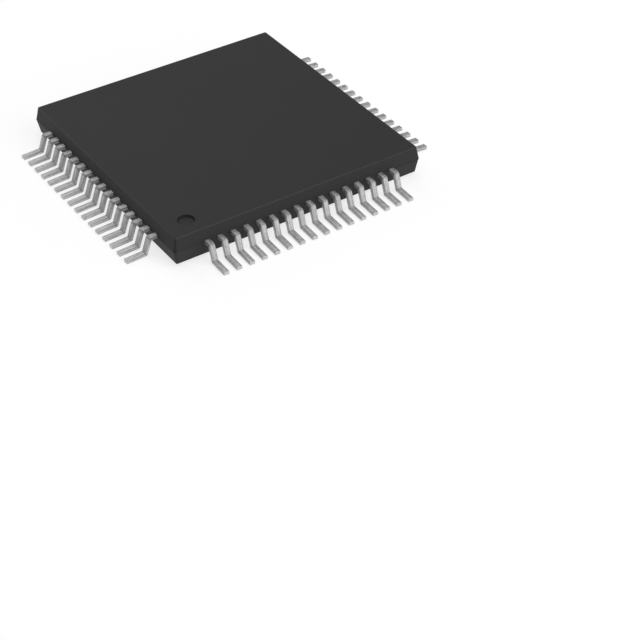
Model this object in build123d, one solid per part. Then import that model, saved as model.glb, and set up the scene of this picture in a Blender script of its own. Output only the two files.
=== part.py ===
"""A thin quad flat pack with an exposed pad, standing on its gull-wing leads.

Millimetres. The origin is in the middle of the seating plane, which the toes of the
leads touch, and +Z points out of the marked face. Lead 1 is at the left end of the
front side, and the leads count anticlockwise seen from above.
"""

from build123d import *
import math
import os

# Lead frame
FRAME_THICKNESS = 0.127
LEADS_PER_SIDE = 16
LEAD_PITCH = 0.5
LEAD_WIDTH = 0.21
LEADS_PER_NODE = 2

# Gull-wing shape of a lead outside the moulding
LEAD_REACH = 1.19  # from the parting edge to the outermost point of the toe
SHOULDER_REACH = 0.307  # from the parting edge to where the upper face turns down
DROP_ANGLE = 19.0  # of the descending part, from the vertical
FOOT_ANGLE = 3.0  # of the foot, toe down
BEND_RADIUS = 0.10  # on the outside of each bend

# Locking head of a lead inside the moulding
HEAD_WIDTH = 0.30
HEAD_LENGTH = 0.24
FINGER_GAP = 0.14  # in plan, from the paddle's lip to a finger's end

# Moulding
BODY_MARGIN = 1.25  # from the middle of a side's last lead to the next side's parting edge
HEIGHT_ABOVE_PARTING = 0.49
HEIGHT_BELOW_PARTING = 0.55
STANDOFF = 0.10  # from the seating plane to the moulding's underside
DRAFT_ANGLE = 11.5
CORNER_CHAMFER = 0.09
EDGE_RADIUS = 0.03

# Round recess that marks the first lead
MARK_FROM_LEFT = 0.85  # from the upper face's left edge to the recess's axis
MARK_FROM_FRONT = 0.73
MARK_MOUTH_RADIUS = 0.31
MARK_FLOOR_RADIUS = 0.265
MARK_DEPTH = 0.085

# Die paddle, whose lower face shows as the exposed pad
PAD_RIM = 0.67  # moulding left between the exposed pad and the underside's edge
PAD_PROUD = 0.05  # how far the pad stands out of the underside
PAD_CORNER_RADIUS = 0.05
LIP_WIDTH = 0.08
LIP_THICKNESS = 0.04

# Tie bars, which hold the paddle at the body's corners
TIE_WIDTH = 0.16
TIE_INSET = 0.22  # from the exposed pad's corner to where a bar starts to rise
TIE_RISE_ANGLE = 60.0
TIE_COVER = 0.15  # moulding left between a bar's end and the body's corner

# Die and its adhesive
DIE_SPAN = 5.60
DIE_THICKNESS = 0.25
ATTACH_THICKNESS = 0.025
ATTACH_SPREAD = 0.06  # how far the adhesive reaches past the die

# Heights and half spans that follow from the values above
PARTING_Z = STANDOFF + HEIGHT_BELOW_PARTING
TOP_Z = PARTING_Z + HEIGHT_ABOVE_PARTING
PARTING_HALF = (LEADS_PER_SIDE - 1) * LEAD_PITCH / 2 + BODY_MARGIN
DRAFT = math.tan(math.radians(DRAFT_ANGLE))
TOP_HALF = PARTING_HALF - HEIGHT_ABOVE_PARTING * DRAFT
PAD_Z = STANDOFF - PAD_PROUD
PAD_HALF = PARTING_HALF - HEIGHT_BELOW_PARTING * DRAFT - PAD_RIM
LIP_HALF = PAD_HALF + LIP_WIDTH
PADDLE_TOP_Z = PAD_Z + FRAME_THICKNESS
FINGER_END = LIP_HALF + FINGER_GAP
FINGER_TOP_Z = PARTING_Z + FRAME_THICKNESS / 2
DIE_Z = PADDLE_TOP_Z + ATTACH_THICKNESS

SIDE_ANGLES = (-90, 0, 90, 180)
CORNER_ANGLES = (-135, -45, 45, 135)
STANDING = (Align.CENTER, Align.CENTER, Align.MIN)
HANGING = (Align.CENTER, Align.CENTER, Align.MAX)


def downward(angle):
    """The side view's direction outward and down by an angle in degrees."""
    return Vector(math.cos(math.radians(angle)), -math.sin(math.radians(angle)))


def crossing(point, direction, other_point, other_direction):
    """Where two lines of a side view cross."""
    across = direction.cross(other_direction).Z
    along = (other_point - point).cross(other_direction).Z / across
    return point + direction * along


def bent_sheet(upper, width):
    """A strip of the lead frame, bent along the corners of its upper face.

    The corners are (distance outward, height), from the inside out. The strip lies
    along +X, its thickness is square to each stretch, and each bend is rounded outside.
    """
    steps = [(end - start).normalized() for start, end in zip(upper, upper[1:])]
    lower = []
    for corner, before, after in zip(upper, steps[:1] + steps, steps + steps[-1:]):
        normals = Vector(before.Y, -before.X), Vector(after.Y, -after.X)
        mitre = (normals[0] + normals[1]) / (1 + normals[0].dot(normals[1]))
        lower.append(corner + mitre * FRAME_THICKNESS)
    side = make_face(Polyline(*upper, *reversed(lower), close=True))

    for index in range(1, len(upper) - 1):
        turns_down = steps[index - 1].cross(steps[index]).Z < 0
        outside = upper[index] if turns_down else lower[index]
        side = fillet(side.vertices().sort_by_distance(outside)[0], BEND_RADIUS)
    return extrude(Plane.XZ * side, width / 2, both=True)


def gull_wing():
    """The upper face's corners of a lead, from its inner end to its toe."""
    foot = downward(FOOT_ANGLE)
    toe = Vector(PARTING_HALF + LEAD_REACH, FRAME_THICKNESS * foot.X)
    shoulder = Vector(PARTING_HALF + SHOULDER_REACH, FINGER_TOP_Z)
    instep = crossing(shoulder, downward(90 - DROP_ANGLE), toe, foot)
    return [Vector(FINGER_END, FINGER_TOP_Z), shoulder, instep, toe]


def lead():
    """One lead of the +X side, centred on the X axis, with its locking head."""
    head = Box(HEAD_LENGTH, HEAD_WIDTH, FRAME_THICKNESS, align=(Align.MIN, Align.CENTER, Align.MAX))
    head = Pos(FINGER_END, 0, FINGER_TOP_Z) * head
    return bent_sheet(gull_wing(), LEAD_WIDTH) + head


def lead_places():
    """Where each lead goes, in the order of their numbers."""
    places = []
    for angle in SIDE_ANGLES:
        for index in range(LEADS_PER_SIDE):
            along = (index - (LEADS_PER_SIDE - 1) / 2) * LEAD_PITCH
            places.append(Rot(0, 0, angle) * Pos(0, along, 0))
    return places


def tie_bar():
    """The upper face's corners of a tie bar, from the paddle towards the body's corner."""
    foot = math.sqrt(2) * PAD_HALF - TIE_INSET
    run = (FINGER_TOP_Z - PADDLE_TOP_Z) / math.tan(math.radians(TIE_RISE_ANGLE))
    end = math.sqrt(2) * PARTING_HALF - CORNER_CHAMFER / math.sqrt(2) - TIE_COVER
    return [
        Vector(foot - TIE_WIDTH, PADDLE_TOP_Z),
        Vector(foot, PADDLE_TOP_Z),
        Vector(foot + run, FINGER_TOP_Z),
        Vector(end, FINGER_TOP_Z),
    ]


def exposed_paddle():
    """The paddle with its coined lip and the four tie bars that rise to the leads' level."""
    pad = fillet(Rectangle(2 * PAD_HALF, 2 * PAD_HALF).vertices(), PAD_CORNER_RADIUS)
    paddle = Pos(0, 0, PAD_Z) * extrude(pad, FRAME_THICKNESS)
    lip = Rectangle(2 * LIP_HALF, 2 * LIP_HALF)
    paddle += Pos(0, 0, PADDLE_TOP_Z) * extrude(lip, -LIP_THICKNESS)

    bar = bent_sheet(tie_bar(), TIE_WIDTH)
    for angle in CORNER_ANGLES:
        paddle += Rot(0, 0, angle) * bar
    return paddle


def layer(span, thickness, base_z):
    """A square layer of the stack on the paddle."""
    return Pos(0, 0, base_z) * Box(span, span, thickness, align=STANDING)


def moulding():
    """The moulding as if it were solid, with the first lead's mark."""
    outline = chamfer(Rectangle(2 * PARTING_HALF, 2 * PARTING_HALF).vertices(), CORNER_CHAMFER)
    outline = Pos(0, 0, PARTING_Z) * outline
    body = extrude(outline, HEIGHT_ABOVE_PARTING, taper=DRAFT_ANGLE)
    body += extrude(outline, HEIGHT_BELOW_PARTING, dir=(0, 0, -1), taper=DRAFT_ANGLE)
    body = fillet(body.faces().sort_by(Axis.Z)[-1].edges(), EDGE_RADIUS)

    mark = Cone(MARK_FLOOR_RADIUS, MARK_MOUTH_RADIUS, MARK_DEPTH, align=HANGING)
    return body - Pos(MARK_FROM_LEFT - TOP_HALF, MARK_FROM_FRONT - TOP_HALF, TOP_Z) * mark


def build():
    """Every piece by its node's name."""
    one_lead = lead()
    leads = [place * one_lead for place in lead_places()]
    pieces = {
        "exposed_paddle": exposed_paddle(),
        "die_attach": layer(DIE_SPAN + 2 * ATTACH_SPREAD, ATTACH_THICKNESS, PADDLE_TOP_Z),
        "silicon_die": layer(DIE_SPAN, DIE_THICKNESS, DIE_Z),
    }
    pieces["mould_body"] = moulding() - [*leads, *pieces.values()]
    for first in range(0, len(leads), LEADS_PER_NODE):
        group = leads[first : first + LEADS_PER_NODE]
        name = f"leads_{first + 1:02d}_{first + len(group):02d}"
        pieces[name] = Compound([piece.solid() for piece in group])
    return pieces


if __name__ == "__main__":
    os.makedirs("parts", exist_ok=True)
    for name, piece in build().items():
        export_step(piece, f"parts/{name}.step")
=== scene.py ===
"""An integrated circuit in a thin quad flat package, dressed and set in a plain white studio.

Sizes in the classes are millimetres and angles are degrees, in the part's own frame: the origin
lies in the middle of the seating plane and +Z points out of the marked face. Meshes are made in
metres.
"""

import logging
import math
from dataclasses import dataclass, field
from enum import Enum
from typing import Any, Callable, Mapping, Sequence, Union

import bmesh
import bpy
from mathutils import Matrix, Vector


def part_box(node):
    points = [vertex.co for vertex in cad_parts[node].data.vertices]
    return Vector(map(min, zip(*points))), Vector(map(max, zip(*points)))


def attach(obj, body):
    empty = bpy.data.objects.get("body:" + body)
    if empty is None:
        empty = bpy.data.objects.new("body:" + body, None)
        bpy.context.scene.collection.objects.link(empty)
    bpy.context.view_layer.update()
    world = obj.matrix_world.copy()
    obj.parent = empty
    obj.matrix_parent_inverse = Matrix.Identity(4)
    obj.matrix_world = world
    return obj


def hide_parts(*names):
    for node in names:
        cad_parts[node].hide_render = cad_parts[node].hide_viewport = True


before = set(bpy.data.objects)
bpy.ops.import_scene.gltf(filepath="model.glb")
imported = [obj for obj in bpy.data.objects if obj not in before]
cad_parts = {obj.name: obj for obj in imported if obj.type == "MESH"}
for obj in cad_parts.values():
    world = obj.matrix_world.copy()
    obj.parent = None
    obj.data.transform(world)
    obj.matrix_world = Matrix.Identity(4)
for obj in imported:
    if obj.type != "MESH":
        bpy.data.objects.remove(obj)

LOG = logging.getLogger("integrated_circuit")
MM = 0.001
BODY = "root"
SHARP_ANGLE = 40.0  # from which an edge is shaded as a corner
SHEET_MAP = "sheet"  # UV map of a lead: across the sheet, and along it
PLAIN_PAINTED_LIGHT = 0.5  # painted light of a lead's shoulder and drop, which leaves them plain
ROUNDING_SETBACK = math.tan(math.pi / 8)  # of a 45 degree turn's rounding, in radii
CHAMFER_LOSS = 2 - math.sqrt(2)  # what a chamfer loses where its outline moves in by 1
COLOUR_INPUTS = (6, 7)  # a Mix node's two inputs for colours, by number
COLOUR_OUTPUT = 2  # and its output
WAVE_TURN = 20.0  # radians that a wave texture turns in 1 unit, at a scale of 1

Colour = tuple[float, float, float]
Span = tuple[float, float]
Profile = list[tuple[float, float]]
Pieces = list[bpy.types.Object]
Draft = bmesh.types.BMesh
Ring = Sequence[bmesh.types.BMVert]

WHITE: Colour = (1.0, 1.0, 1.0)


class Share(Enum):
    """What the vertices of a piece tell its finish, as attributes from 0 to 1."""

    BEND = "bend"  # of a lead: 1 in the middle of a bend
    CUT = "cut"  # of a lead: 1 on the sheared face of its toe
    RIM = "rim"  # of a lead: 1 in the middle of a rounded edge
    PAINTED_LIGHT = "painted_light"  # of a lead: painted light and shade, plain down to the end of its drop, darker at its instep by the body, lighter up to 1 at its toe
    EDGE = "edge"  # of the moulding: 1 in the middle of its upper rounding
    PAINTED_SHADE = "painted_shade"  # of the moulding: painted shade, a darker colour with more roughness, on the mark's wall and the corner facets


LEAD_SHARES = (Share.BEND, Share.CUT, Share.RIM, Share.PAINTED_LIGHT)


# Shader maths

Operand = Union["Socket", float]
Key = Union[str, int]
Settings = Mapping[str, Any]
Inputs = Mapping[Key, Any]


class Socket:
    """An output of a node, which takes part in Python arithmetic."""

    def __init__(self, graph: "Graph", socket: bpy.types.NodeSocket) -> None:
        """Wraps one output.

        Args:
            graph: The tree that the output belongs to.
            socket: The output.
        """
        self.graph = graph
        self.socket = socket

    def __add__(self, other: Operand) -> "Socket":
        """The sum."""
        return self.graph.maths("ADD", self, other)

    def __radd__(self, other: Operand) -> "Socket":
        """The sum, with the number first."""
        return self.graph.maths("ADD", other, self)

    def __sub__(self, other: Operand) -> "Socket":
        """The difference."""
        return self.graph.maths("SUBTRACT", self, other)

    def __rsub__(self, other: Operand) -> "Socket":
        """The difference, with the number first."""
        return self.graph.maths("SUBTRACT", other, self)

    def __mul__(self, other: Operand) -> "Socket":
        """The product."""
        return self.graph.maths("MULTIPLY", self, other)

    def __rmul__(self, other: Operand) -> "Socket":
        """The product, with the number first."""
        return self.graph.maths("MULTIPLY", other, self)

    def centred(self) -> "Socket":
        """The value less a half, so that what runs from 0 to 1 goes to both sides of 0."""
        return self - 0.5

    def between(self, low: float, high: float) -> "Socket":
        """How far the value has come from low to high, kept from 0 to 1.

        Args:
            low: The value that gives 0.
            high: The value that gives 1.

        Returns:
            The share.
        """
        settings = {"interpolation_type": "SMOOTHSTEP"}
        sockets = {"Value": self, "From Min": low, "From Max": high}
        return self.graph.add("ShaderNodeMapRange", settings, sockets, "Result")


class Graph:
    """The node tree of a material or of the world, while it is made."""

    def __init__(self, tree: bpy.types.NodeTree) -> None:
        """Empties a tree and keeps it.

        Args:
            tree: The node tree.
        """
        self.tree = tree
        tree.nodes.clear()

    def node(self, kind: str, settings: Settings, sockets: Inputs) -> bpy.types.Node:
        """Makes one node.

        Args:
            kind: The node's type.
            settings: Its properties, which are set first.
            sockets: Values or links of its inputs, by name or number.

        Returns:
            The node.
        """
        made = self.tree.nodes.new(kind)
        for name, value in settings.items():
            setattr(made, name, value)
        for name, value in sockets.items():
            if isinstance(value, Socket):
                self.tree.links.new(value.socket, made.inputs[name])
            else:
                made.inputs[name].default_value = value
        return made

    def add(self, kind: str, settings: Settings, sockets: Inputs, output: Key = 0) -> Socket:
        """Makes one node and gives one of its outputs.

        Args:
            kind: The node's type.
            settings: Its properties.
            sockets: Values or links of its inputs.
            output: The output's name or number.

        Returns:
            The output.
        """
        return Socket(self, self.node(kind, settings, sockets).outputs[output])

    def maths(self, operation: str, first: Operand, second: Operand) -> Socket:
        """One Math node.

        Args:
            operation: What it works out.
            first: Its first value.
            second: Its second value.

        Returns:
            The result.
        """
        return self.add("ShaderNodeMath", {"operation": operation}, {0: first, 1: second})

    def blend(self, share: Operand, first: Any, second: Any) -> Socket:
        """A colour between two colours.

        Args:
            share: How much of the second shows.
            first: The first colour.
            second: The second colour.

        Returns:
            The colour.
        """
        sockets = {"Factor": share, COLOUR_INPUTS[0]: first, COLOUR_INPUTS[1]: second}
        return self.add("ShaderNodeMix", {"data_type": "RGBA"}, sockets, COLOUR_OUTPUT)

    def toned(self, tone: Operand, colour: Colour, factors: Span) -> Socket:
        """A colour made darker and lighter by a tone.

        Args:
            tone: The tone, from 0 to 1.
            colour: The colour.
            factors: What the colour is multiplied by at a tone of 0, and of 1.

        Returns:
            The new colour.
        """
        dark, light = (opaque(colour, factor) for factor in factors)
        return self.blend(tone, dark, light)

    def share_of(self, share: Share) -> Socket:
        """What the vertices tell."""
        return self.add("ShaderNodeAttribute", {"attribute_name": share.value}, {}, "Fac")

    def millimetres(self) -> Socket:
        """The place on the part in millimetres.

        Returns:
            The place.
        """
        place = self.add("ShaderNodeTexCoord", {}, {}, "Object")
        sockets = {0: place, "Scale": 1.0 / MM}
        return self.add("ShaderNodeVectorMath", {"operation": "SCALE"}, sockets)

    def relief(self, height: Socket, depth: float) -> Socket:
        """A normal that follows a height.

        Args:
            height: The height, from 0 to 1.
            depth: What a height of 1 is, in millimetres.

        Returns:
            The normal.
        """
        sockets = {"Height": height, "Strength": 1.0, "Distance": depth * MM}
        return self.add("ShaderNodeBump", {}, sockets)


def opaque(colour: Colour, factor: float = 1.0) -> tuple[float, float, float, float]:
    """A colour with its alpha, made lighter or darker by a factor."""
    return (colour[0] * factor, colour[1] * factor, colour[2] * factor, 1.0)


# Patterns


@dataclass(frozen=True, kw_only=True)
class Pattern:
    """A texture of a finish, and how much it counts in each property of the finish."""

    tone: float = 0.0
    roughness: float = 0.0
    relief: float = 0.0
    drawn: float = 1.0  # factor on the second coordinate, along which it is drawn out
    span: Union[Span, None] = None  # the texture's values that become 0 and 1

    def on(self, graph: Graph, place: Socket) -> Socket:
        """The pattern over a surface.

        Args:
            graph: The material's tree.
            place: The place in millimetres.

        Returns:
            The pattern, from 0 to 1.
        """
        if self.drawn != 1.0:
            sockets = {0: place, 1: (1.0, self.drawn, 1.0)}
            place = graph.add("ShaderNodeVectorMath", {"operation": "MULTIPLY"}, sockets)
        kind, inputs = self.texture()
        made = graph.add(kind, {}, {"Vector": place, **inputs}, "Fac")
        return made if self.span is None else made.between(*self.span)

    def texture(self) -> tuple[str, Inputs]:
        """The texture's node.

        Returns:
            Its type, and the values of its inputs.
        """
        raise NotImplementedError


@dataclass(frozen=True, kw_only=True)
class Cloud(Pattern):
    """Cloudy noise."""

    per_mm: float  # how many blots fit in a millimetre
    detail: float = 2.0  # how many finer layers it has
    fineness: float = 0.5  # how strong the finer layers are

    def texture(self) -> tuple[str, Inputs]:
        """The texture's node."""
        inputs = {"Scale": self.per_mm, "Detail": self.detail, "Roughness": self.fineness}
        return "ShaderNodeTexNoise", inputs


@dataclass(frozen=True, kw_only=True)
class Lines(Pattern):
    """Lines that follow the second coordinate and waver."""

    spacing: float
    waver: float  # how far they leave their course, in radians of one line
    waver_detail: float = 2.0
    waver_scale: float = 2.0

    def texture(self) -> tuple[str, Inputs]:
        """The texture's node.

        Returns:
            Its type, and the values of its inputs.
        """
        inputs = {
            "Scale": 2 * math.pi / (WAVE_TURN * self.spacing),
            "Distortion": self.waver,
            "Detail": self.waver_detail,
            "Detail Scale": self.waver_scale,
        }
        return "ShaderNodeTexWave", inputs


# Finishes


@dataclass(frozen=True)
class Finish:
    """What every finish has."""

    name: str

    def material(self) -> bpy.types.Material:
        """Makes the material.

        Returns:
            The material.
        """
        made = bpy.data.materials.new(self.name)
        made.use_nodes = True
        graph = Graph(made.node_tree)
        graph.node("ShaderNodeOutputMaterial", {}, {"Surface": self.surface(graph)})
        return made

    def surface(self, graph: Graph) -> Socket:
        """The shader of the surface.

        Args:
            graph: The material's tree.

        Returns:
            The shader.
        """
        raise NotImplementedError


@dataclass(frozen=True)
class PartFinish(Finish):
    """What every finish of the part itself has."""

    slot: str  # the record's material slot

    def surface(self, graph: Graph) -> Socket:
        """The shader of the surface."""
        return graph.add("ShaderNodeBsdfPrincipled", {}, self.inputs(graph))

    def inputs(self, graph: Graph) -> Inputs:
        """The values and links of the shader's inputs.

        Args:
            graph: The material's tree.

        Returns:
            The inputs by name.
        """
        raise NotImplementedError


@dataclass(frozen=True)
class MouldingCompound(PartFinish):
    """Black epoxy that takes the fine spark-eroded grain of its mould."""

    colour: Colour = (0.0130, 0.0130, 0.0132)
    factors: Span = (0.90, 1.10)  # on the colour, at a tone of 0 and of 1
    # painted shade: the colour's factor on the mark's wall and the corner facets
    painted_shade_factor: float = 0.15
    roughness: float = 0.70
    dull_roughness: float = 0.22
    edge_polish: float = 0.31
    relief_depth: float = 0.0022
    cloud: Cloud = Cloud(per_mm=0.55, detail=3.0, tone=0.5, roughness=0.06)
    grain: Cloud = Cloud(per_mm=34.0, fineness=0.6, tone=0.35, roughness=0.10)
    specks: Cloud = Cloud(per_mm=102.0, detail=1.0, span=(0.62, 0.80), tone=0.3)

    def inputs(self, graph: Graph) -> Inputs:
        """The values and links of the shader's inputs.

        Args:
            graph: The material's tree.

        Returns:
            The inputs by name.
        """
        place = graph.millimetres()
        edge = graph.share_of(Share.EDGE)
        painted_shade = graph.share_of(Share.PAINTED_SHADE)
        cloud = self.cloud.on(graph, place)
        grain = self.grain.on(graph, place)
        specks = self.specks.on(graph, place)
        tone = self.cloud.tone * cloud + self.grain.tone * grain + self.specks.tone * specks
        plain = graph.toned(tone, self.colour, self.factors)
        rough = self.roughness + self.grain.roughness * grain.centred()
        rough = rough + self.cloud.roughness * cloud.centred()
        return {
            # painted shade: the mark's wall and the corner facets get a darker colour, besides
            # more roughness
            "Base Color": graph.blend(painted_shade, plain, opaque(self.colour, self.painted_shade_factor)),
            "Roughness": rough - edge * self.edge_polish + painted_shade * self.dull_roughness,
            "Normal": graph.relief(grain, self.relief_depth),
        }


@dataclass(frozen=True)
class LeadPlating(PartFinish):
    """Matte tin over the stamped and bent lead frame, drawn along each lead."""

    colour: Colour = (0.50, 0.50, 0.4975)
    cut_colour: Colour = (0.63, 0.63, 0.627)
    factors: Span = (0.58, 1.42)
    # painted shade on the rounded edges, which draws dark outlines round each lead's faces
    rim_shade_factor: float = 0.45
    rim_shade_share: float = 0.30
    # painted shade in the middle of each bend, which tones down its highlight
    bend_shade_factor: float = 0.50
    bend_shade_share: float = 0.6
    # how much the painted light and shade along the foot changes the tone
    painted_light_tone: float = 0.16
    roughness: float = 0.58
    bend_roughness: float = 0.06
    relief_depth: float = 0.0028
    streaks: Cloud = Cloud(per_mm=20.0, drawn=0.07, span=(0.34, 0.66), tone=0.22, relief=0.35)
    lines: Lines = Lines(spacing=0.095, waver=2.2, drawn=0.12, tone=0.28, relief=0.35)
    mottle: Cloud = Cloud(per_mm=8.0, span=(0.32, 0.68), tone=0.32, roughness=0.12)
    grain: Cloud = Cloud(per_mm=55.0, fineness=0.65, tone=0.18, relief=0.5)

    def inputs(self, graph: Graph) -> Inputs:
        """The values and links of the shader's inputs.

        Args:
            graph: The material's tree.

        Returns:
            The inputs by name.
        """
        sheet = graph.add("ShaderNodeUVMap", {"uv_map": SHEET_MAP}, {})
        place = graph.millimetres()
        bend, cut, rim, painted_light = (graph.share_of(share) for share in LEAD_SHARES)
        streaks = self.streaks.on(graph, sheet)
        lines = self.lines.on(graph, sheet)
        mottle = self.mottle.on(graph, place)
        grain = self.grain.on(graph, place)
        tone = self.streaks.tone * streaks + self.lines.tone * lines
        tone = tone + self.mottle.tone * mottle + self.grain.tone * grain
        # painted light and shade along the foot: darker at the instep near the body, lighter
        # towards the toe
        tone = tone + self.painted_light_tone * (painted_light - PLAIN_PAINTED_LIGHT)
        plain = graph.toned(tone, self.colour, self.factors)
        # painted shade: the rounded edges are darkened
        rim_shaded = graph.blend(rim * self.rim_shade_share, plain, opaque(self.colour, self.rim_shade_factor))
        # painted shade at the bends
        bent = graph.blend(bend * self.bend_shade_share, rim_shaded, opaque(self.colour, self.bend_shade_factor))
        rough = self.roughness + self.mottle.roughness * mottle.centred()
        height = self.streaks.relief * streaks + self.lines.relief * lines
        height = height + self.grain.relief * grain
        return {
            "Base Color": graph.blend(cut, bent, opaque(self.cut_colour)),
            "Metallic": 1.0,
            "Roughness": rough + self.bend_roughness * bend,
            "Normal": graph.relief(height, self.relief_depth),
        }


@dataclass(frozen=True)
class PadPlating(PartFinish):
    """Matte tin over the rolled sheet of the paddle, with a few faint handling marks."""

    colour: Colour = (0.80, 0.80, 0.80)
    factors: Span = (0.94, 1.04)
    spot_factor: float = 0.82
    spot_share: float = 0.25
    roughness: float = 0.42
    relief_depth: float = 0.0010
    rolled: Cloud = Cloud(per_mm=18.0, detail=3.0, drawn=0.05, tone=0.35, relief=0.4)
    grain: Cloud = Cloud(per_mm=42.0, fineness=0.6, tone=0.25, roughness=0.10, relief=0.6)
    cloud: Cloud = Cloud(per_mm=0.45, detail=3.0, tone=0.4)
    spots: Cloud = Cloud(per_mm=1.7, detail=1.0, span=(0.71, 0.76), roughness=0.05)

    def inputs(self, graph: Graph) -> Inputs:
        """The values and links of the shader's inputs.

        Args:
            graph: The material's tree.

        Returns:
            The inputs by name.
        """
        place = graph.millimetres()
        rolled = self.rolled.on(graph, place)
        grain = self.grain.on(graph, place)
        cloud = self.cloud.on(graph, place)
        spots = self.spots.on(graph, place)
        tone = self.rolled.tone * rolled + self.grain.tone * grain + self.cloud.tone * cloud
        plain = graph.toned(tone, self.colour, self.factors)
        marked = opaque(self.colour, self.spot_factor)
        rough = self.roughness + self.grain.roughness * grain.centred()
        height = self.rolled.relief * rolled + self.grain.relief * grain
        return {
            "Base Color": graph.blend(spots * self.spot_share, plain, marked),
            "Metallic": 1.0,
            "Roughness": rough + self.spots.roughness * spots,
            "Normal": graph.relief(height, self.relief_depth),
        }


@dataclass(frozen=True)
class PolishedSilicon(PartFinish):
    """The die, which is sawn from a polished wafer."""

    colour: Colour = (0.16, 0.16, 0.18)
    factors: Span = (0.92, 1.08)
    metallic: float = 0.6
    roughness: float = 0.22
    haze: Cloud = Cloud(per_mm=6.0, detail=3.0, roughness=0.10)

    def inputs(self, graph: Graph) -> Inputs:
        """The values and links of the shader's inputs.

        Args:
            graph: The material's tree.

        Returns:
            The inputs by name.
        """
        haze = self.haze.on(graph, graph.millimetres())
        return {
            "Base Color": graph.toned(haze, self.colour, self.factors),
            "Metallic": self.metallic,
            "Roughness": self.roughness + self.haze.roughness * haze.centred(),
        }


@dataclass(frozen=True)
class DieAdhesive(PartFinish):
    """The silver-filled epoxy under the die."""

    colour: Colour = (0.55, 0.55, 0.54)
    factors: Span = (0.80, 1.15)
    metallic: float = 0.5
    roughness: float = 0.50
    relief_depth: float = 0.003
    flakes: Cloud = Cloud(per_mm=30.0, roughness=0.20)

    def inputs(self, graph: Graph) -> Inputs:
        """The values and links of the shader's inputs.

        Args:
            graph: The material's tree.

        Returns:
            The inputs by name.
        """
        flakes = self.flakes.on(graph, graph.millimetres())
        return {
            "Base Color": graph.toned(flakes, self.colour, self.factors),
            "Metallic": self.metallic,
            "Roughness": self.roughness + self.flakes.roughness * flakes.centred(),
            "Normal": graph.relief(flakes, self.relief_depth),
        }


@dataclass(frozen=True)
class WhiteTable(Finish):
    """White to the camera and in reflections, with the part's shadow kept."""

    colour: Colour = (0.90, 0.90, 0.90)
    paint: float = 0.30  # how light it is painted, where the camera or a reflection sees it
    glow: float = 0.75  # what it adds to the paint there
    sweep: Span = (60.0, 240.0)  # how far from the part it turns all white

    def surface(self, graph: Graph) -> Socket:
        """The shader of the surface.

        Args:
            graph: The material's tree.

        Returns:
            The shader.
        """
        path = graph.node("ShaderNodeLightPath", {}, {})
        kinds = ("Is Camera Ray", "Is Glossy Ray", "Is Transmission Ray")
        camera, glossy, through = (Socket(graph, path.outputs[kind]) for kind in kinds)
        seen = camera + glossy + through
        colour = graph.blend(seen, opaque(self.colour), opaque(WHITE, self.paint))
        paint = graph.add("ShaderNodeBsdfDiffuse", {}, {"Color": colour})
        glow = graph.add("ShaderNodeEmission", {}, {"Strength": seen * self.glow})
        near = graph.add("ShaderNodeAddShader", {}, {0: paint, 1: glow})
        white = graph.add("ShaderNodeEmission", {}, {})
        place = {0: graph.millimetres()}
        away = graph.add("ShaderNodeVectorMath", {"operation": "LENGTH"}, place, "Value")
        far = seen * away.between(*self.sweep)
        top = graph.add("ShaderNodeMixShader", {}, {0: far, 1: near, 2: white})
        clear = graph.add("ShaderNodeBsdfTransparent", {}, {})
        beneath = graph.add("ShaderNodeNewGeometry", {}, {}, "Backfacing")
        return graph.add("ShaderNodeMixShader", {}, {0: beneath, 1: top, 2: clear})


# Meshes


def finished(
    name: str, draft: Draft, finish: PartFinish, replaced: Sequence[str]
) -> bpy.types.Object:
    """Turns a draft in millimetres into a piece of the part, in metres.

    Args:
        name: The piece's name.
        draft: The mesh, which is freed.
        finish: What it is finished with.
        replaced: The CAD nodes that it stands for.

    Returns:
        The piece.
    """
    bmesh.ops.recalc_face_normals(draft, faces=draft.faces)
    bmesh.ops.scale(draft, vec=(MM, MM, MM), verts=draft.verts)
    mesh = bpy.data.meshes.new(name)
    draft.to_mesh(mesh)
    draft.free()
    mesh.shade_smooth()
    mesh.set_sharp_from_angle(angle=math.radians(SHARP_ANGLE))
    piece = bpy.data.objects.new(name, mesh)
    bpy.context.scene.collection.objects.link(piece)
    piece.modifiers.new("Even normals", "WEIGHTED_NORMAL").keep_sharp = True
    mesh.materials.append(finish.material())
    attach(piece, BODY)
    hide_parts(*replaced)
    return piece


def dressed(node: str, finish: PartFinish) -> bpy.types.Object:
    """Gives a CAD node its finish.

    Args:
        node: The node's name.
        finish: The finish.

    Returns:
        The node's object.
    """
    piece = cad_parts[node]
    piece.data.materials.clear()
    piece.data.materials.append(finish.material())
    return piece


def join_rings(draft: Draft, rings: Sequence[Ring]) -> list[bmesh.types.BMFace]:
    """Joins closed rings of as many vertices each, one after the other.

    Args:
        draft: The mesh.
        rings: The rings in order.

    Returns:
        The faces, ring by ring.
    """
    made = []
    for lower, upper in zip(rings, rings[1:]):
        for index in range(len(lower)):
            after = (index + 1) % len(lower)
            corners = (lower[index], lower[after], upper[after], upper[index])
            made.append(draft.faces.new(corners))
    return made


def loop_edges(draft: Draft, ring: Ring) -> list[bmesh.types.BMEdge]:
    """The edges of a closed ring."""
    found = [draft.edges.get((a, b)) for a, b in zip(ring, [*ring[1:], ring[0]])]
    return [edge for edge in found if edge is not None]


def quarter(steps: int) -> Profile:
    """Sines and cosines from 0 to 90 degrees, in so many steps."""
    angles = [math.pi / 2 * step / steps for step in range(steps + 1)]
    return [(math.sin(angle), math.cos(angle)) for angle in angles]


def downward(degrees: float) -> Vector:
    """The direction of a side view that points outward and down by an angle."""
    return Vector((math.cos(math.radians(degrees)), -math.sin(math.radians(degrees))))


def square_to(direction: Vector) -> Vector:
    """The direction square to another in a side view, down from one that points outward."""
    return Vector((direction.y, -direction.x))


def cross(first: Vector, second: Vector) -> float:
    """The cross product of two vectors of a side view."""
    return first.x * second.y - first.y * second.x


# Sub-assemblies


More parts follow.
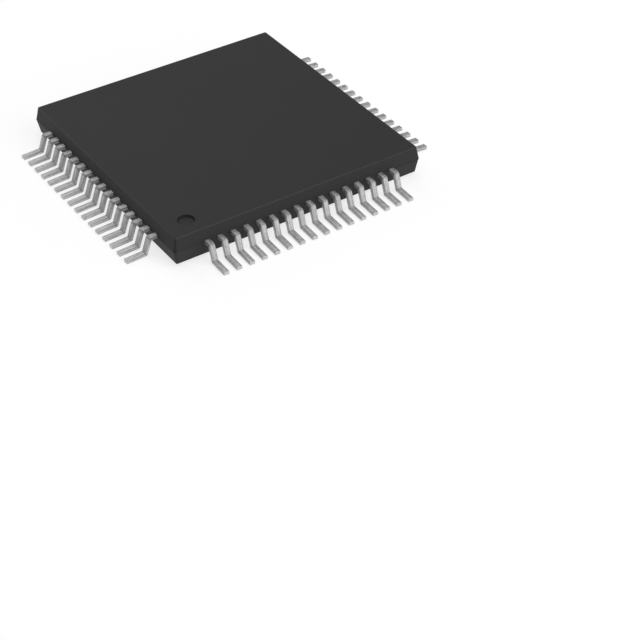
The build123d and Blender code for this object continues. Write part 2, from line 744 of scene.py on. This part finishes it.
class Side(Enum):
    """A side of the package, by the direction in which its leads point, in degrees."""

    FRONT = -90
    RIGHT = 0
    BACK = 90
    LEFT = 180


class SubAssembly:
    """Pieces of the part that are made together."""

    def build(self) -> Pieces:
        """Makes the pieces and gives them their finishes.

        Returns:
            The pieces.
        """
        raise NotImplementedError


@dataclass
class Moulding(SubAssembly):
    """The black body, whose drafted halves meet at the parting edge, and the first lead's mark."""

    node: str = "mould_body"
    parting_height: float = 0.65
    flash: float = 0.006
    flash_height: float = 0.014
    draft_angle: float = 11.5
    corner_chamfer: float = 0.09
    least_chamfer: float = 1.2  # times what the roundings of its two edges take up
    corner_radius: float = 0.03
    top_edge_radius: float = 0.03
    bottom_edge_radius: float = 0.02
    rounding_steps: int = 4
    border: float = 0.03  # flat strip beside each rounding, which keeps the faces' shading flat
    mark_from_left: float = 0.85  # from the upper face's edge to the mark's axis
    mark_from_front: float = 0.73
    mark_mouth_radius: float = 0.31
    mark_floor_radius: float = 0.265
    mark_depth: float = 0.085
    mark_edge_radius: float = 0.012
    mark_steps: int = 64
    mark_painted_shade: float = 0.6  # painted shade on the mark's wall, standing in for the shade in the recess
    lower_painted_shade: float = 0.12  # painted shade on the lower half's corner facets, standing in for the crease shade at the chamfer
    upper_painted_shade: float = 0.32  # painted shade on the upper half's corner facets, darker than on the lower half
    pad_rim: float = 0.67  # from the underside's edge to the exposed pad
    pad_corner_radius: float = 0.05
    pad_seat_depth: float = 0.10
    finish: PartFinish = field(
        default_factory=lambda: MouldingCompound("moulding compound", "moulding")
    )

    def __post_init__(self) -> None:
        """Reads the outer sizes from the CAD node."""
        low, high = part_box(self.node)
        self.half = high.x / MM
        self.bottom = low.z / MM
        self.top = high.z / MM
        self.slope = math.tan(math.radians(self.draft_angle))

    def half_at(self, height: float) -> float:
        """Half the body's width at a height."""
        return self.half - abs(height - self.parting_height) * self.slope

    def outline(self, half: float, chamfer: float, radius: float, height: float) -> list[Vector]:
        """A square with chamfered corners, whose eight corners are rounded.

        Args:
            half: Half its width.
            chamfer: What is cut from each side at a corner.
            radius: The rounding of the eight corners.
            height: Where it lies.

        Returns:
            Its points, anticlockwise, as many for any size.
        """
        points = []
        cut = radius * ROUNDING_SETBACK
        for side in range(len(Side)):
            turn = Matrix.Rotation(math.radians(90 * side), 3, "Z")
            reach = half - chamfer
            corner_a = Vector((half - radius, reach - cut, height))
            corner_b = Vector((reach - cut, half - radius, height))
            for corner, start in ((corner_a, 0.0), (corner_b, math.pi / 4)):
                for step in range(self.rounding_steps + 1):
                    angle = start + math.pi / 4 * step / self.rounding_steps
                    offset = Vector((math.cos(angle), math.sin(angle), 0)) * radius
                    points.append(turn @ (corner + offset))
        return points

    def levels(self) -> Profile:
        """How far in from the parting edge and how high each ring of the outer skin lies.

        Returns:
            Pairs of an inset and a height, from the underside to the top.
        """
        reach = self.flash_height / 2
        inset = reach * self.slope
        flash = [
            (inset, self.parting_height - reach),
            (-self.flash, self.parting_height - reach / 2),
            (-self.flash, self.parting_height + reach / 2),
            (inset, self.parting_height + reach),
        ]
        bottom = self._rounding(self.bottom, self.bottom_edge_radius, 1)
        top = self._rounding(self.top, self.top_edge_radius, -1)
        return bottom + flash + top[::-1]

    def _rounding(self, face: float, radius: float, inward: int) -> Profile:
        """The rounding between a flat face and a drafted wall, with the border beside it.

        Args:
            face: The flat face's height.
            radius: The rounding's radius.
            inward: 1 where the body lies above the face, -1 where it lies below.

        Returns:
            Pairs of an inset from the parting edge and a height, from the face outward.
        """
        whole = math.pi / 2 - math.radians(self.draft_angle)
        setback = radius * math.tan(whole / 2)
        centre = self.half - self.half_at(face) + setback
        made = [(centre + self.border, face)]
        for step in range(self.rounding_steps + 1):
            angle = whole * step / self.rounding_steps
            height = face + inward * radius * (1 - math.cos(angle))
            made.append((centre - radius * math.sin(angle), height))
        return made

    def build(self) -> Pieces:
        """Makes the body.

        Returns:
            The piece.
        """
        draft = bmesh.new()
        edge = draft.verts.layers.float.new(Share.EDGE.value)
        painted_shade = draft.verts.layers.float.new(Share.PAINTED_SHADE.value)
        least = self.least_chamfer * math.sqrt(2) * self.corner_radius * ROUNDING_SETBACK
        rings = []
        for inset, height in self.levels():
            chamfer = max(self.corner_chamfer - CHAMFER_LOSS * inset, least)
            outline = self.outline(self.half - inset, chamfer, self.corner_radius, height)
            rings.append([draft.verts.new(point) for point in outline])
        for ring in rings[-1 - self.rounding_steps : -2]:  # inside the upper rounding
            for vertex in ring:
                vertex[edge] = 1.0
        # painted shade on the corner facets, stronger on the upper half, standing in for the
        # crease shade at the chamfer
        for number, ring in enumerate(rings[1:-1], start=1):
            upper = number >= len(rings) // 2
            painted_shade_here = self.upper_painted_shade if upper else self.lower_painted_shade
            for index, vertex in enumerate(ring):
                vertex[painted_shade] = painted_shade_here * self._facet_share(index)
        join_rings(draft, rings)
        self._seat(draft, rings[0])
        self._face_with_mark(draft, rings[-1])
        return [finished("moulding", draft, self.finish, [self.node])]

    def _facet_share(self, index: int) -> float:
        """How near a point of an outline lies to its corner's flat facet.

        Args:
            index: The point's number in the outline.

        Returns:
            1 on the facet, less on the rounding beside it, and 0 on the side.
        """
        arc = self.rounding_steps + 1
        step = index % (2 * arc)
        return min(step, 2 * arc - 1 - step) / self.rounding_steps

    def _seat(self, draft: Draft, underside: Ring) -> None:
        """Closes the underside round the square seat of the exposed pad.

        Args:
            draft: The mesh.
            underside: The outer ring of the flat underside.
        """
        half = self.half_at(self.bottom) - self.pad_rim
        radius = self.pad_corner_radius
        mouth = self.outline(half, 2 * radius * ROUNDING_SETBACK, radius, self.bottom)
        ring = [draft.verts.new(point) for point in mouth]
        floor = [draft.verts.new(point + Vector((0, 0, self.pad_seat_depth))) for point in mouth]
        join_rings(draft, [underside, ring, floor])
        draft.faces.new(floor)

    def _face_with_mark(self, draft: Draft, rim: Ring) -> None:
        """Closes the upper face round the first lead's mark, and sinks the mark.

        Args:
            draft: The mesh.
            rim: The outer ring of the flat upper face.
        """
        edge = -self.half_at(self.top)
        centre = Vector((edge + self.mark_from_left, edge + self.mark_from_front, self.top))
        painted_shade = draft.verts.layers.float[Share.PAINTED_SHADE.value]
        rings = []
        for radius, depth in self.mark_section():
            ring = []
            for step in range(self.mark_steps):
                angle = 2 * math.pi * step / self.mark_steps
                offset = Vector((radius * math.cos(angle), radius * math.sin(angle), -depth))
                ring.append(draft.verts.new(centre + offset))
            rings.append(ring)
        for ring in rings[2:-2]:  # between the flat face and the mark's flat floor: the wall, which gets painted shade
            for vertex in ring:
                vertex[painted_shade] = self.mark_painted_shade
        join_rings(draft, rings)
        draft.faces.new(rings[-1])
        edges = loop_edges(draft, rim) + loop_edges(draft, rings[0])
        bmesh.ops.triangle_fill(draft, use_beauty=True, edges=edges)

    def mark_section(self) -> Profile:
        """The mark's section from its mouth to its floor.

        Returns:
            Pairs of a radius and a depth.
        """
        fall = math.atan2(self.mark_depth, self.mark_mouth_radius - self.mark_floor_radius)
        edge = self.mark_edge_radius
        setback = edge * math.tan(fall / 2)
        mouth = [(self.mark_mouth_radius + setback + self.border, 0.0)]
        floor = [(self.mark_floor_radius - setback - self.border, self.mark_depth)]
        for step in range(self.rounding_steps + 1):
            share = step / self.rounding_steps
            across = setback - edge * math.sin(fall * share)
            down = edge * (1 - math.cos(fall * share))
            mouth.append((self.mark_mouth_radius + across, down))
            floor.append((self.mark_floor_radius - across, self.mark_depth - down))
        return mouth + floor[::-1]


@dataclass(frozen=True)
class Station:
    """A place along a lead in its side view, where the lead gets a ring of vertices."""

    upper: Vector
    lower: Vector
    along: float
    width: float
    bend: float = 0.0
    # painted light and shade, from 0 to 1
    painted_light: float = PLAIN_PAINTED_LIGHT
    inset: float = 0.0  # how far the section's rounded edges draw in
    cut: float = 0.0


@dataclass(frozen=True)
class Spot:
    """A point of a lead's section, and how far round the section it lies."""

    point: Vector
    around: float
    rim: float


@dataclass
class Lead:
    """One gull-wing lead of the right side, on the X axis, with its locking head."""

    thickness: float = 0.127
    width: float = 0.21
    reach: float = 1.19  # from the parting edge to the toe
    shoulder_reach: float = 0.307  # from the parting edge to where the upper face turns down
    drop_angle: float = 19.0  # from the vertical
    foot_angle: float = 3.0  # toe down
    outer_radius: float = 0.10
    inner_radius: float = 0.03
    head_width: float = 0.30
    head_length: float = 0.24
    punched_edge: float = 0.030  # rounding of the edges of the upper face
    sheared_edge: float = 0.012  # rounding of the edges of the lower face and of the toe
    # painted shade at the instep, near the body
    instep_painted_light: float = 0.3
    edge_steps: int = 3
    bend_steps: int = 10
    parting_half: float = 5.0
    parting_height: float = 0.65
    finger_end: float = 4.444  # from the part's middle to the locking head's end

    def corners(self) -> list[Vector]:
        """The corners of the upper face in the side view, from the inner end to the toe.

        Returns:
            Points of distance outward and height.
        """
        top = self.parting_height + self.thickness / 2
        foot = downward(self.foot_angle)
        drop = downward(90 - self.drop_angle)
        toe = Vector((self.parting_half + self.reach, self.thickness * foot.x))
        shoulder = Vector((self.parting_half + self.shoulder_reach, top))
        along = cross(toe - shoulder, foot) / cross(drop, foot)
        return [Vector((self.finger_end, top)), shoulder, shoulder + drop * along, toe]

    def stations(self) -> list[Station]:
        """The places along the lead that get a ring of vertices.

        Returns:
            The stations from the inner end to the toe.
        """
        points = self.corners()
        steps = [(b - a).normalized() for a, b in zip(points, points[1:])]
        under = [square_to(step) * self.thickness for step in steps]
        start, head = points[0], points[0] + steps[0] * self.head_length
        made = [
            Station(start, start + under[0], 0.0, self.head_width),
            Station(head, head + under[0], self.head_length, self.head_width),
            Station(head, head + under[0], self.head_length, self.width),
        ]
        along = 0.0
        # painted light and shade: plain after the shoulder bend, darker after the instep bend
        for index, painted_light in ((1, PLAIN_PAINTED_LIGHT), (2, self.instep_painted_light)):
            along += (points[index] - points[index - 1]).length
            made += self._bend(points[index], steps[index - 1], steps[index], along, painted_light)
        along += (points[3] - points[2]).length
        for sine, cosine in quarter(self.edge_steps):
            back = self.sheared_edge * (1 - sine)
            inset = self.sheared_edge * (1 - cosine)
            end = points[3] - steps[2] * back
            place = along - back
            made.append(
                Station(end, end + under[2], place, self.width, painted_light=1.0, inset=inset, cut=sine)
            )
        return made

    def _bend(
        self, corner: Vector, before: Vector, after: Vector, along: float, painted_light: float
    ) -> list[Station]:
        """The stations of one bend.

        Args:
            corner: The corner of the upper face.
            before: The direction before it.
            after: The direction after it.
            along: How far along the lead it lies.
            painted_light: The painted light and shade at its end.

        Returns:
            The stations.
        """
        down = cross(before, after) < 0
        angle = math.asin(abs(cross(before, after)))
        under = square_to(before), square_to(after)
        mitre = (under[0] + under[1]) / (1 + under[0].dot(under[1]))
        side = under[0] if down else -under[0]
        radii = [self.outer_radius, self.inner_radius]
        if not down:
            radii.reverse()
        made = []
        for step in range(self.bend_steps + 1):
            part = angle * step / self.bend_steps
            ends = []
            for point, radius in zip((corner, corner + mitre * self.thickness), radii):
                start = point - before * (radius * math.tan(angle / 2))
                ahead = before * (radius * math.sin(part))
                ends.append(start + ahead + side * (radius * (1 - math.cos(part))))
            share = step / self.bend_steps
            place = along + (share - 0.5) * angle * self.outer_radius
            bend = math.sin(math.pi * share)
            painted_light_here = PLAIN_PAINTED_LIGHT + (painted_light - PLAIN_PAINTED_LIGHT) * share
            made.append(Station(ends[0], ends[1], place, self.width, bend, painted_light_here))
        return made

    def section(self, station: Station) -> list[Spot]:
        """The section of the lead at a station, with rounded edges.

        Args:
            station: The station.

        Returns:
            Its points, from the underside up one flank, over the top and down the other.
        """
        middle = (station.upper + station.lower) / 2
        across = (station.upper - station.lower) / 2
        tall = across.length
        across.normalize()
        around = 0.0
        made: list[Spot] = []
        for side, rise in ((1, -1), (1, 1), (-1, 1), (-1, -1)):
            radius = self.punched_edge if rise > 0 else self.sheared_edge
            wide = station.width / 2 - radius
            high = tall - radius
            reach = max(radius - station.inset, 0)
            for step in range(self.edge_steps + 1):
                share = step / self.edge_steps
                angle = math.pi / 2 * (share if side * rise > 0 else 1 - share)
                out = side * (wide + reach * math.cos(angle))
                flat = middle + across * rise * (high + reach * math.sin(angle))
                point = Vector((flat.x, out, flat.y))
                if made:
                    around += (point - made[-1].point).length
                made.append(Spot(point, around, math.sin(math.pi * share)))
        return made


@dataclass
class LeadRow(SubAssembly):
    """The leads of one side."""

    side: Side
    lead: Lead = field(default_factory=Lead)
    count: int = 16
    pitch: float = 0.5
    finish: PartFinish = field(default_factory=lambda: LeadPlating("lead plating", "lead_finish"))

    def nodes(self) -> list[str]:
        """The CAD nodes of this side's leads.

        Returns:
            Their names.
        """
        order = list(Side).index(self.side)
        names = sorted(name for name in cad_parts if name.startswith("leads_"))
        share = len(names) // len(Side)
        return names[order * share : (order + 1) * share]

    def build(self) -> Pieces:
        """Makes the row.

        Returns:
            The piece.
        """
        draft = bmesh.new()
        draft.loops.layers.uv.new(SHEET_MAP)
        for share in LEAD_SHARES:
            draft.verts.layers.float.new(share.value)
        turn = Matrix.Rotation(math.radians(self.side.value), 3, "Z")
        for index in range(self.count):
            place = Vector((0, (index - (self.count - 1) / 2) * self.pitch, 0))
            self._add_lead(draft, lambda point: turn @ (point + place), index)
        return [finished(f"leads_{self.side.name.lower()}", draft, self.finish, self.nodes())]

    def _add_lead(self, draft: Draft, put: Callable[[Vector], Vector], index: int) -> None:
        """Adds one lead to the row.

        Args:
            draft: The row's mesh.
            put: Moves a point of the lead to its place.
            index: The lead's number in the row.
        """
        sheet = draft.loops.layers.uv[SHEET_MAP]
        layers = [draft.verts.layers.float[share.value] for share in LEAD_SHARES]
        shift = index * self.pitch
        rings, spots, ends = [], [], []
        for station in self.lead.stations():
            section = self.lead.section(station)
            ring = [draft.verts.new(put(spot.point)) for spot in section]
            for vertex, spot in zip(ring, section):
                shares = (station.bend, station.cut, spot.rim, station.painted_light)
                for layer, share in zip(layers, shares):
                    vertex[layer] = share
            rings.append(ring)
            whole = section[-1].around + (section[-1].point - section[0].point).length
            arounds = [spot.around for spot in section] + [whole]
            spots.append([(around + shift, station.along) for around in arounds])
            ends.append([(spot.point.y + shift, spot.point.z) for spot in section])
        faces = iter(join_rings(draft, rings))
        for near, far in zip(spots, spots[1:]):
            for column in range(len(near) - 1):
                patch = (near[column], near[column + 1], far[column + 1], far[column])
                for loop, spot in zip(next(faces).loops, patch):
                    loop[sheet].uv = spot
        for ring, patch in ((rings[0], ends[0]), (rings[-1], ends[-1])):
            for loop, spot in zip(draft.faces.new(ring).loops, patch):
                loop[sheet].uv = spot


@dataclass
class Paddle(SubAssembly):
    """The exposed pad with its lip and tie bars, in its CAD shape with its edges eased."""

    node: str = "exposed_paddle"
    edge_radius: float = 0.012
    edge_steps: int = 3
    edge_angle: float = 30.0  # from which an edge is eased
    flat_angle: float = 1.0  # up to which neighbouring faces are one
    seam: float = 0.0001  # up to which vertices are one
    finish: PartFinish = field(default_factory=lambda: PadPlating("pad plating", "pad_finish"))

    def build(self) -> Pieces:
        """Eases the edges and gives the pad its finish.

        Returns:
            The CAD node.
        """
        piece = dressed(self.node, self.finish)
        piece.modifiers.new("Seams", "WELD").merge_threshold = self.seam * MM
        flat = piece.modifiers.new("Whole faces", "DECIMATE")
        flat.decimate_type = "DISSOLVE"
        flat.angle_limit = math.radians(self.flat_angle)
        ease = piece.modifiers.new("Eased edges", "BEVEL")
        ease.width = self.edge_radius * MM
        ease.segments = self.edge_steps
        ease.limit_method = "ANGLE"
        ease.angle_limit = math.radians(self.edge_angle)
        ease.harden_normals = True
        return [piece]


@dataclass
class DieStack(SubAssembly):
    """The die and its adhesive, which the moulding hides."""

    finishes: Mapping[str, PartFinish] = field(
        default_factory=lambda: {
            "silicon_die": PolishedSilicon("polished silicon", "silicon"),
            "die_attach": DieAdhesive("die adhesive", "adhesive"),
        }
    )

    def build(self) -> Pieces:
        """Gives both their finishes."""
        return [dressed(node, finish) for node, finish in self.finishes.items()]


# Studio


@dataclass
class Camera:
    """The camera, where it sees the part as the photograph does."""

    place: Vector = field(default_factory=lambda: Vector((-26.649, -45.381, 34.443)))
    back: Vector = field(default_factory=lambda: Vector((-0.43782, -0.64554, 0.62579)))
    lens: float = 97.62
    sensor: float = 36.0
    nearest: float = 1.0
    farthest: float = 10000.0

    def build(self) -> None:
        """Makes the camera."""
        data = bpy.data.cameras.new("camera")
        data.lens = self.lens
        data.sensor_width = self.sensor
        data.clip_start = self.nearest * MM
        data.clip_end = self.farthest * MM
        camera = bpy.data.objects.new("camera", data)
        camera.rotation_mode = "QUATERNION"
        camera.rotation_quaternion = self.back.to_track_quat("Z", "Y")
        camera.location = self.place * MM
        bpy.context.scene.collection.objects.link(camera)
        bpy.context.scene.camera = camera


@dataclass
class Softbox:
    """A soft square light that looks at the part.

    Its azimuth counts anticlockwise from +X and its brightness is that of its face, where a
    white surface in full light has 1.
    """

    name: str
    azimuth: float
    elevation: float
    brightness: float
    distance: float = 300.0
    size: float = 280.0

    def build(self) -> None:
        """Makes the light."""
        data = bpy.data.lights.new(self.name, "AREA")
        data.shape = "SQUARE"
        data.size = self.size * MM
        data.energy = self.brightness * math.pi * data.size**2
        azimuth, elevation = math.radians(self.azimuth), math.radians(self.elevation)
        flat = Vector((math.cos(azimuth), math.sin(azimuth), math.tan(elevation)))
        light = bpy.data.objects.new(self.name, data)
        light.location = flat.normalized() * self.distance * MM
        light.rotation_mode = "QUATERNION"
        light.rotation_quaternion = flat.to_track_quat("Z", "Y")
        bpy.context.scene.collection.objects.link(light)


@dataclass
class Table:
    """The table top that the part stands on."""

    reach: float = 1200.0  # from its middle to each of its three corners
    finish: Finish = field(default_factory=lambda: WhiteTable("white table"))

    def build(self) -> None:
        """Makes the table top as one triangle, so that no seam shows in the metal."""
        draft = bmesh.new()
        bmesh.ops.create_circle(draft, cap_ends=True, segments=3, radius=self.reach * MM)
        mesh = bpy.data.meshes.new("floor")
        draft.to_mesh(mesh)
        draft.free()
        mesh.materials.append(self.finish.material())
        floor = bpy.data.objects.new("floor", mesh)
        bpy.context.scene.collection.objects.link(floor)


@dataclass
class Room:
    """The room, whose wall is white up to a low height and dim above it."""

    horizon: Span = (7.6, 11.0)  # how high up the wall its white fades
    sky: float = 0.16

    def build(self) -> None:
        """Makes the world."""
        world = bpy.data.worlds.new("room")
        world.use_nodes = True
        graph = Graph(world.node_tree)
        direction = graph.add("ShaderNodeTexCoord", {}, {}, "Generated")
        rise = graph.add("ShaderNodeSeparateXYZ", {}, {0: direction}, "Z")
        low, high = (math.sin(math.radians(angle)) for angle in self.horizon)
        strength = 1.0 - rise.between(low, high) * (1.0 - self.sky)
        sockets = {"Color": opaque(WHITE), "Strength": strength}
        room = graph.add("ShaderNodeBackground", {}, sockets)
        graph.node("ShaderNodeOutputWorld", {}, {"Surface": room})
        bpy.context.scene.world = world


@dataclass
class Studio:
    """The camera, the lights, the table and the room."""

    camera: Camera = field(default_factory=Camera)
    softboxes: tuple[Softbox, ...] = (
        Softbox("front light", azimuth=300.0, elevation=32.0, brightness=1.88),
        Softbox("top light", azimuth=0.0, elevation=89.0, brightness=1.50),
        Softbox("back light", azimuth=90.0, elevation=35.0, brightness=0.98),
    )
    table: Table = field(default_factory=Table)
    room: Room = field(default_factory=Room)

    def build(self) -> None:
        """Makes everything round the part."""
        for thing in (self.camera, *self.softboxes, self.table, self.room):
            thing.build()
        bpy.context.scene.view_settings.view_transform = "Standard"


def main() -> None:
    """Builds the part's looks and the studio in order, and reports each piece."""
    logging.basicConfig(level=logging.INFO, format="%(name)s: %(message)s")
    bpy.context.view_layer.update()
    for assembly in (Moulding(), *(LeadRow(side) for side in Side), Paddle(), DieStack()):
        for piece in assembly.build():
            mesh = piece.data
            LOG.info("%s: %d faces, %s", piece.name, len(mesh.polygons), mesh.materials[0].name)
    studio = Studio()
    studio.build()
    LOG.info("studio: %d lights", len(studio.softboxes))


if __name__ == "__main__":
    main()
